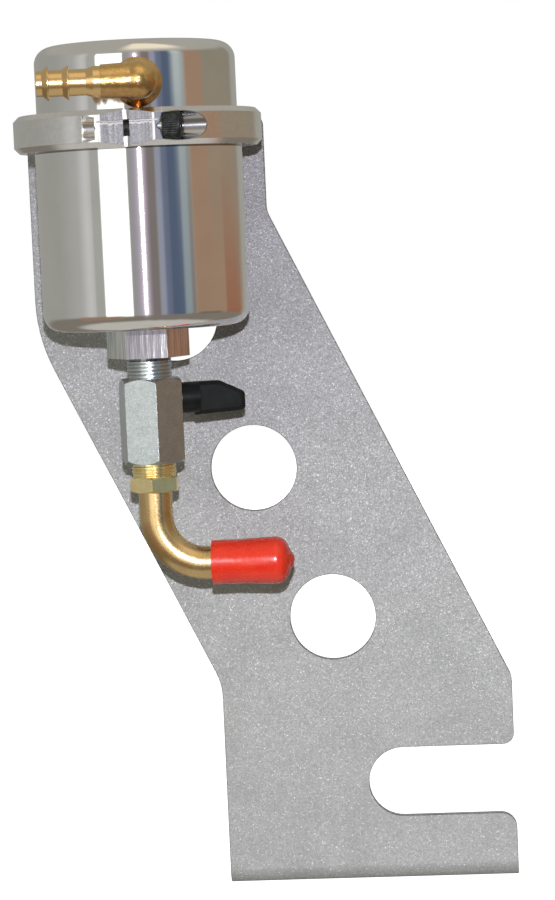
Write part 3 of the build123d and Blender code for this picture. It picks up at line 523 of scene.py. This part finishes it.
looks = {
    "bare_steel": bare_steel(),
    "polished_aluminium": polished_aluminium(),
    "turned_aluminium": turned_aluminium(),
    "black_oxide": black_oxide(),
    "zinc_steel": zinc_steel(),
    "seal_rubber": seal_rubber(),
    "forged_brass": forged_brass(),
    "turned_brass": turned_brass(),
    "polished_brass": polished_brass(),
    "nickel_plate": nickel_plate(),
    "steel_mesh": steel_mesh(),
    "white_seat": white_seat(),
    "black_plastic": black_plastic(),
    "red_vinyl": red_vinyl(),
}
for name, node in nodes.items():
    node.data.materials.clear()
    node.data.materials.append(looks[slot_of[name]])


# Edges that turn by more than this stay sharp on a smooth piece
sharp_from = radians(25)


def new_piece(name, points, faces, body, slot_name, smooth=True):
    """A mesh piece that rides on a body and takes its finish from a slot."""
    mesh = bpy.data.meshes.new(name)
    mesh.from_pydata(points, [], faces)
    mesh.update()
    for polygon in mesh.polygons:
        polygon.use_smooth = smooth
    piece = bpy.data.objects.new(name, mesh)
    bpy.context.scene.collection.objects.link(piece)
    mesh.materials.append(looks[slot_name])
    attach(piece, body)
    return piece


def frame_at(base, axis):
    """A turn and place whose Z runs along an axis from a base point."""
    return Matrix.Translation(base) @ axis.to_track_quat("Z", "Y").to_matrix().to_4x4()


def thread(name, base, axis, length, root, crest, body, slot_name, crest_share=0.2):
    """A helical ridge round a bare threaded stretch. It fades into the shank at both ends."""
    pitch = 1.411 * mm
    root_share = 0.47
    steps_per_turn = 72
    sunk = 0.04 * mm
    corners = 4
    half_root, half_crest = root_share * pitch, crest_share * pitch
    usable = length - 2 * half_root
    steps = int(usable / pitch * steps_per_turn)
    fade_steps = steps_per_turn // 4
    place = frame_at(base, axis)
    points, faces = [], []
    for step in range(steps + 1):
        angle = 2 * pi * step / steps_per_turn
        height = half_root + usable * step / steps
        fade = min(1, step / fade_steps, (steps - step) / fade_steps)
        top = root + (crest - root) * fade
        profile = (
            (root - sunk, -half_root),
            (top, -half_crest),
            (top, half_crest),
            (root - sunk, half_root),
        )
        for radius, offset in profile:
            points.append(place @ Vector((radius * cos(angle), radius * sin(angle), height + offset)))
        if step:
            last = corners * (step - 1)
            this = corners * step
            for side in range(corners):
                following = (side + 1) % corners
                faces.append((last + side, last + following, this + following, this + side))
    faces.append(tuple(reversed(range(corners))))
    faces.append(tuple(corners * steps + side for side in range(corners)))
    piece = new_piece(name, points, faces, body, slot_name)
    piece.data.set_sharp_from_angle(angle=sharp_from)
    return piece


def lathe(name, outline, body, slot_name, node, segments=288):
    """A finely divided turned piece on the can's axis, in place of a CAD node with the same outline.

    The outline is a closed loop of (radius, height). A radius of 0 ends it on the axis.
    """
    points, faces, rings = [], [], []
    for radius, height in outline:
        if radius == 0:
            rings.append([len(points)] * segments)
            points.append((can_axis.x, can_axis.y, height))
            continue
        rings.append(list(range(len(points), len(points) + segments)))
        for step in range(segments):
            angle = 2 * pi * step / segments
            points.append((can_axis.x + radius * cos(angle), can_axis.y + radius * sin(angle), height))
    pairs = list(zip(rings, rings[1:]))
    if outline[0][0] and outline[-1][0]:
        pairs.append((rings[-1], rings[0]))
    for first, second in pairs:
        for step in range(segments):
            following = (step + 1) % segments
            corners = (first[step], first[following], second[following], second[step])
            faces.append(tuple(dict.fromkeys(corners)))
    piece = new_piece(name, points, faces, body, slot_name)
    piece.data.set_sharp_from_angle(angle=sharp_from)
    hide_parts(node)
    return piece


def arc(centre_radius, centre_height, radius, start, end, steps=20):
    """Points of an outline's fillet. Angles are in degrees, from outwards towards up."""
    turns = [radians(start + (end - start) * step / steps) for step in range(steps + 1)]
    return [(centre_radius + radius * cos(turn), centre_height + radius * sin(turn)) for turn in turns]


# Can and lid again, with the CAD nodes' outlines, fine enough for a mirror finish
can_radius = 39.8 * mm
can_bore = 36.6 * mm
drain_bore = 11.0 * mm
foot_fillet = 6.5 * mm
floor_top = can_bottom + 8.0 * mm
floor_slope = 3.0 * mm
can_outline = [
    (drain_bore, floor_top),
    (drain_bore, can_bottom),
    *arc(can_radius - foot_fillet, can_bottom + foot_fillet, foot_fillet, -90, 0),
    (can_radius, rim),
    (can_bore, rim),
    (can_bore, floor_top + floor_slope),
]
lathe("can_turned", can_outline, "can", "polished_aluminium", "can_body")

spigot_radius = 36.52 * mm
seal_groove_radius = 34.55 * mm
seal_groove_low, seal_groove_high = rim - 5.7 * mm, rim - 3.3 * mm
lid_bore = 32.5 * mm
snap_groove_radius = 33.5 * mm
snap_groove_low, snap_groove_high = rim - 22.0 * mm, rim - 20.4 * mm
baffle_seat_radius = 31.5 * mm
baffle_seat_height = rim - 8.3 * mm
roof = lid_top - 5.0 * mm
edge_fillet = 6.5 * mm
roof_fillet = 4.0 * mm
lid_outline = [
    (0, lid_top),
    *arc(lid_radius - edge_fillet, lid_top - edge_fillet, edge_fillet, 90, 0),
    (lid_radius, rim),
    (spigot_radius, rim),
    (spigot_radius, seal_groove_high),
    (seal_groove_radius, seal_groove_high),
    (seal_groove_radius, seal_groove_low),
    (spigot_radius, seal_groove_low),
    (spigot_radius, lid_low.z),
    (lid_bore, lid_low.z),
    (lid_bore, snap_groove_low),
    (snap_groove_radius, snap_groove_low),
    (snap_groove_radius, snap_groove_high),
    (lid_bore, snap_groove_high),
    (lid_bore, baffle_seat_height),
    (baffle_seat_radius, baffle_seat_height),
    *arc(baffle_seat_radius - roof_fillet, roof - roof_fillet, roof_fillet, 0, 90),
    (0, roof),
]
lathe("lid_turned", lid_outline, "lid", "polished_aluminium", "lid")

# Pipe threads, bare between the bung and the valve, and between the valve and the adapter
bung_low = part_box("drain_bung")[0]
valve_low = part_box("valve_body")[0]
pipe_root = 8.2 * mm
pipe_crest = 8.57 * mm
valve_thread_bare = 8.2 * mm
adapter_thread_bare = 5.3 * mm
thread(
    "valve_thread",
    can_axis + up * (bung_low.z - valve_thread_bare),
    up,
    valve_thread_bare,
    pipe_root,
    pipe_crest,
    "can",
    "nickel_plate",
    crest_share=0.33,
)
thread(
    "adapter_thread",
    can_axis + up * (valve_low.z - adapter_thread_bare),
    up,
    adapter_thread_bare,
    pipe_root,
    pipe_crest,
    "can",
    "turned_brass",
)

# Elbow threads, bare between the lid and each elbow's shoulder
elbow_thread_bare = 2.6 * mm
elbow_root = 6.85 * mm
elbow_crest = 7.2 * mm
for name, quarter in (("inlet_elbow_thread", -pi / 2), ("outlet_elbow_thread", pi / 2)):
    out = Vector((cos(lid_turn + quarter), sin(lid_turn + quarter), 0))
    base = Vector((can_axis.x, can_axis.y, elbow_height)) + out * lid_radius
    thread(name, base, out, elbow_thread_bare, elbow_root, elbow_crest, "lid", "forged_brass")


def knurl(name, base, axis, length, root, crest, teeth, body, slot_name):
    """Straight ridges round a screw head, with a bevelled band at both ends."""
    place = frame_at(base, axis)
    bevel = crest - root
    points, faces = [], []
    rows = ((0.0, 0.0), (bevel, 1.0), (length - bevel, 1.0), (length, 0.0))
    ridge_shape = (0.0, 0.75, 1.0, 0.75)
    around = len(ridge_shape) * teeth
    for height, rise in rows:
        for step in range(around):
            angle = 2 * pi * step / around
            ridge = ridge_shape[step % len(ridge_shape)]
            radius = root + bevel * ridge * rise
            points.append(place @ Vector((radius * cos(angle), radius * sin(angle), height)))
    for row in range(len(rows) - 1):
        for step in range(around):
            a = row * around + step
            b = row * around + (step + 1) % around
            faces.append((a, b, b + around, a + around))
    return new_piece(name, points, faces, body, slot_name, smooth=False)


head_radius = 5.0 * mm
head_length = 6.9 * mm
plain_at_seat = 0.4 * mm
plain_at_top = 1.0 * mm
knurl_clearance = 0.01 * mm
knurl_height = 0.22 * mm
knurl_teeth = 34
head_base = can_axis + screw_reach * split_out + screw_seat * split_along + screw_height * up
knurl(
    "clamp_screw_knurl",
    head_base + plain_at_seat * split_along,
    split_along,
    head_length - plain_at_seat - plain_at_top,
    head_radius + knurl_clearance,
    head_radius + knurl_height,
    knurl_teeth,
    "can",
    "black_oxide",
)

# Floor: plain, pale, and only there to catch the shadow
floor_radius = 9.0
floor_sides = 64
floor_height = -0.2 * mm
floor_turns = [2 * pi * side / floor_sides for side in range(floor_sides)]
floor_mesh = bpy.data.meshes.new("floor")
floor_mesh.from_pydata(
    [(floor_radius * cos(turn), floor_radius * sin(turn), floor_height) for turn in floor_turns],
    [],
    [tuple(range(floor_sides))],
)
floor = bpy.data.objects.new("floor", floor_mesh)
bpy.context.scene.collection.objects.link(floor)
floor_material, _tree, floor_shader, _place = blank("floor", roughness=1.0)
floor_shader.inputs["Base Color"].default_value = (0.9, 0.9, 0.9, 1)
floor_shader.inputs["Specular IOR Level"].default_value = 0.0
floor_shader.inputs["Emission Color"].default_value = (1, 1, 1, 1)
floor_shader.inputs["Emission Strength"].default_value = 1.0
floor_mesh.materials.append(floor_material)
floor.visible_diffuse = False
floor.visible_glossy = False


def area_light(name, place, aim, width, height, energy, colour=(1.0, 1.0, 1.0)):
    """A rectangular light that faces what it aims at."""
    data = bpy.data.lights.new(name, "AREA")
    data.shape = "RECTANGLE"
    data.size = width
    data.size_y = height
    data.energy = energy
    data.color = colour
    light = bpy.data.objects.new(name, data)
    turn = (aim - place).to_track_quat("-Z", "Y").to_matrix().to_4x4()
    light.matrix_world = Matrix.Translation(place) @ turn
    bpy.context.scene.collection.objects.link(light)
    return light


# Flash, just above the lens
flash_above_lens = 0.082
flash_place = camera.matrix_world @ Vector((0, flash_above_lens, 0))
flash_aim = Vector((0.03, 0, -0.16))
flash = area_light(
    "flash", flash_place, flash_aim, width=0.018, height=0.012, energy=2.12, colour=(1.0, 1.0, 1.06)
)
flash.data.spread = radians(82)

# Soft light from a window, in front and to the left, that no mirror shows
foot = Vector((0, 0, 0))
window_place = Vector((-0.95, -1.35, 0.1))
window = area_light(
    "window", window_place, foot, width=0.9, height=1.1, energy=5.5, colour=(1.0, 1.05, 0.82)
)
window.visible_glossy = False

# Soft light behind, for views from the back
rear_place = Vector((0.6, 1.5, 0.7))
rear = area_light("rear", rear_place, foot, width=1.2, height=1.2, energy=18.0)
rear.visible_glossy = False

# Room, as the polished metal sees it. Azimuth 0 is towards -Y and grows towards +X; both in degrees.
world = bpy.data.worlds.new("room")
bpy.context.scene.world = world
world.use_nodes = True
room = world.node_tree
degrees_in_radian = 180 / pi
direction = add(room, "SeparateXYZ", {0: add(room, "TexCoord").outputs["Generated"]})
forward = maths(room, "MULTIPLY", direction.outputs["Y"], -1.0)
azimuth = maths(room, "MULTIPLY", maths(room, "ARCTAN2", direction.outputs["X"], forward), degrees_in_radian)
elevation = maths(room, "MULTIPLY", maths(room, "ARCSINE", direction.outputs["Z"]), degrees_in_radian)


def smooth_step(value, start, end):
    """0 before start and 1 beyond end, with a soft step between them."""
    limits = {0: value, 1: start, 2: end}
    return add(room, "MapRange", limits, interpolation_type="SMOOTHSTEP").outputs[0]


def between(value, low, high, soft):
    """1 between low and high, fading over soft at both."""
    after_low = smooth_step(value, low - soft / 2, low + soft / 2)
    before_high = smooth_step(value, high + soft / 2, high - soft / 2)
    return maths(room, "MULTIPLY", after_low, before_high)


# Walls and cards, later ones in front: azimuth from and to, elevation from and to, softness, colour
room_parts = [
    ("left wall, nearer", (-84, -30, -90, 90, 40, (0.41, 0.405, 0.385))),
    ("left wall, pale edge", (-63, -50, -90, 90, 15, (0.565, 0.56, 0.545))),
    ("door frame", (-50, -30, -90, 90, 3, (0.395, 0.395, 0.37))),
    ("window", (-39.0, -7.4, -28, 22, 2, (1.5, 1.54, 1.48))),
    ("window edge", (-7.4, -3, -90, 90, 2, (0.33, 0.315, 0.32))),
    ("lavender cloth", (-3, 9, -90, 90, 4, (0.33, 0.325, 0.36))),
    ("dark cupboard", (9, 23, -90, 90, 4, (0.205, 0.18, 0.175))),
    ("glow about the flash", (1, 12, -90, 90, 8, (0.50, 0.41, 0.49))),
    ("blue strip", (24, 29.5, -90, 90, 4, (0.29, 0.31, 0.40))),
    ("blue coat", (29.5, 36, -90, 90, 4, (0.15, 0.175, 0.26))),
    ("navy coat", (35, 52, -90, 90, 6, (0.09, 0.12, 0.185))),
    ("teal strip", (51.5, 59, -90, 90, 6, (0.25, 0.305, 0.335))),
    ("teal strip, higher", (48, 60, 2, 90, 10, (0.47, 0.52, 0.51))),
    ("gap", (59, 64.5, -90, 1, 4, (0.22, 0.205, 0.20))),
    ("wooden door", (64.5, 150, -90, 90, 4, (0.345, 0.228, 0.152))),
    ("dark under the door", (68, 100, -90, -9, 12, (0.08, 0.085, 0.09))),
    ("red box, low on the right", (108, 139, -90, -1, 5, (0.31, 0.135, 0.08))),
    ("shelf, high on the right", (88, 136, 1.0, 90, 7, (0.275, 0.25, 0.19))),
    ("far corner", (132, 150, -0.5, 90, 10, (0.27, 0.24, 0.195))),
    ("far right wall", (146, 181, -90, 90, 12, (0.35, 0.35, 0.31))),
    ("ceiling", (-181, 181, 26, 91, 14, (0.40, 0.385, 0.345))),
    ("ceiling, lit patch", (-8, 72, 42, 91, 26, (0.95, 0.82, 0.64))),
    ("near edge of the table", (-181, 181, -48, -14, 12, (0.21, 0.185, 0.155))),
    ("brown on the table", (-75, -20, -32, -11, 10, (0.30, 0.195, 0.145))),
    ("table top", (-181, 181, -91, -50, 14, (0.52, 0.50, 0.46))),
]
seen = room.nodes.new("ShaderNodeRGB").outputs[0]
seen.default_value = (0.335, 0.333, 0.305, 1)
for _name, (left, right, low, high, soft, colour) in room_parts:
    sideways = between(azimuth, left, right, soft)
    inside = maths(room, "MULTIPLY", sideways, between(elevation, low, high, soft))
    seen = mix(room, inside, seen, colour)

# Polished surfaces see the room, matte ones get a dim light with a bounce from below, the camera sees white
ray = add(room, "LightPath")
from_below = fitted(room, elevation, -40.0, -65.0)
bounce = mix(room, from_below, (0.037, 0.036, 0.013), (0.50, 0.50, 0.46))
soft_light = mix(room, ray.outputs["Is Glossy Ray"], bounce, seen)
backdrop = mix(room, ray.outputs["Is Camera Ray"], soft_light, (1.0, 1.0, 1.0))
room.links.new(backdrop, room.nodes["Background"].inputs["Color"])
